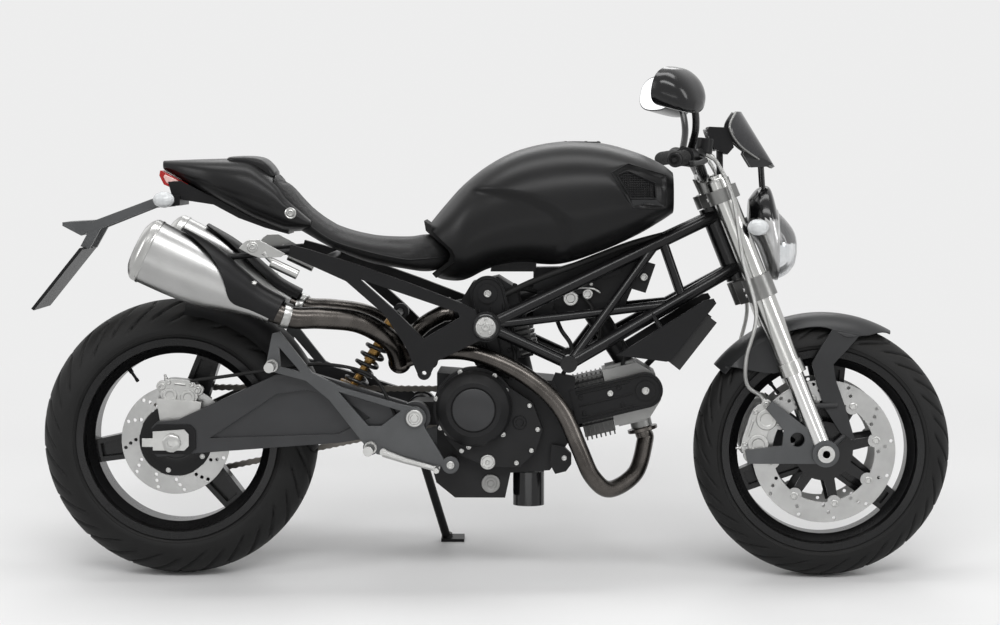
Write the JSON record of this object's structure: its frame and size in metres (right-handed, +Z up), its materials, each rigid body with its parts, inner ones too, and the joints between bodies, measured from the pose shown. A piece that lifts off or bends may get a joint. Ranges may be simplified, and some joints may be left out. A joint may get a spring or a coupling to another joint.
{
  "type": "standard motorcycle",
  "caption": "Naked standard motorcycle with an air-cooled V-twin in a tube trellis frame, twin high mufflers, spoked alloy wheels and a side stand.",
  "frame": {"origin": "on the floor under the middle of the leaning machine's bounding box", "axes": "+X forward, +Y to the rider's left, +Z up from the floor; the machine leans 10 degrees to +Y on its side stand"},
  "size_m": [2.0599, 0.834, 1.1832],
  "materials": {
    "tyre": "matt rubber",
    "wheel_black": "gloss black paint",
    "disc_steel": "ground stainless",
    "chain_steel": "oiled steel",
    "swingarm_grey": "satin graphite paint",
    "zinc_steel": "zinc plate",
    "caliper_grey": "cast, satin",
    "shock_gold": "gold paint",
    "black_plastic": "matt black",
    "dark_plastic": "satin dark grey",
    "frame_black": "satin black paint",
    "casting_grey": "satin dark grey",
    "engine_black": "black coated casting",
    "head_silver": "sand-cast",
    "gloss_black": "gloss black",
    "cooler_aluminium": "bare fins",
    "exhaust_steel": "heat-stained steel",
    "muffler_steel": "satin steel",
    "matte_black": "matt black paint",
    "seat_leather": "grained black cover",
    "red_lens": "clear red",
    "clear_lens": "clear",
    "fork_silver": "polished",
    "stanchion_chrome": "hard chrome",
    "clamp_grey": "bead-blasted",
    "headlight_silver": "silver paint",
    "screen_dark": "smoked",
    "grip_rubber": "moulded",
    "mirror_glass": "silvered"
  },
  "bodies": {
    "chassis": {"swingarm": "swingarm_grey", "rear_axle": "zinc_steel", "rear_caliper": "caliper_grey", "drive_chain": "chain_steel", "rear_shock": "shock_gold", "hugger": "black_plastic", "trellis_frame": "frame_black", "subframe": "casting_grey", "crankcase": "engine_black", "clutch_cover": "engine_black", "alternator_cover": "engine_black", "cylinder_barrels": "engine_black", "cylinder_heads": "head_silver", "belt_covers": "black_plastic", "oil_filter": "gloss_black", "airbox": "black_plastic", "oil_cooler": "cooler_aluminium", "cooler_shrouds": "black_plastic", "exhaust_pipes": "exhaust_steel", "mufflers": "muffler_steel", "muffler_guards": "black_plastic", "fuel_tank": "matte_black", "intake_grilles": "black_plastic", "seat": "seat_leather", "tail_cowl": "matte_black", "undertray": "black_plastic", "tail_light": "red_lens", "plate_holder": "dark_plastic", "rear_indicators": "clear_lens", "footrest_brackets": "casting_grey", "foot_controls": "zinc_steel"},
    "rear_wheel_set": {"rear_tyre": "tyre", "rear_wheel": "wheel_black", "rear_disc": "disc_steel", "rear_sprocket": "chain_steel"},
    "steering": {"fork_tubes": "fork_silver", "fork_stanchions": "stanchion_chrome", "triple_clamps": "clamp_grey", "front_axle": "zinc_steel", "front_calipers": "caliper_grey", "front_fender": "dark_plastic", "headlight": "headlight_silver", "headlight_lens": "clear_lens", "front_indicators": "clear_lens", "instruments": "black_plastic", "flyscreen": "screen_dark", "handlebar": "gloss_black", "grips": "grip_rubber", "hand_controls": "black_plastic", "mirrors": "gloss_black", "mirror_glasses": "mirror_glass", "brake_hoses": "grip_rubber"},
    "front_wheel_set": {"front_tyre": "tyre", "front_wheel": "wheel_black", "front_discs": "disc_steel"},
    "stand": {"side_stand": "frame_black"}
  },
  "joints": [
    {"name": "rear_wheel_spin", "type": "hinge", "parent": "chassis", "child": "rear_wheel_set", "pos_m": [-0.708, -0.13426, 0.30847], "axis": [0, 0.9848, -0.1736], "continuous": true},
    {"name": "steering_turn", "type": "hinge", "parent": "chassis", "child": "steering", "pos_m": [0.52846, -0.0598, 0.73074], "axis": [-0.3714, 0.1612, 0.9144], "range_deg": [-30, 30]},
    {"name": "front_wheel_spin", "type": "hinge", "parent": "steering", "child": "front_wheel_set", "pos_m": [0.742, -0.13848, 0.28452], "axis": [0, 0.9848, -0.1736], "continuous": true},
    {"name": "side_stand_fold", "type": "hinge", "parent": "chassis", "child": "stand", "pos_m": [-0.172, -0.02673, 0.23875], "axis": [0.1006, 0.9361, 0.3371], "range_deg": [0, 94.4]}
  ]
}
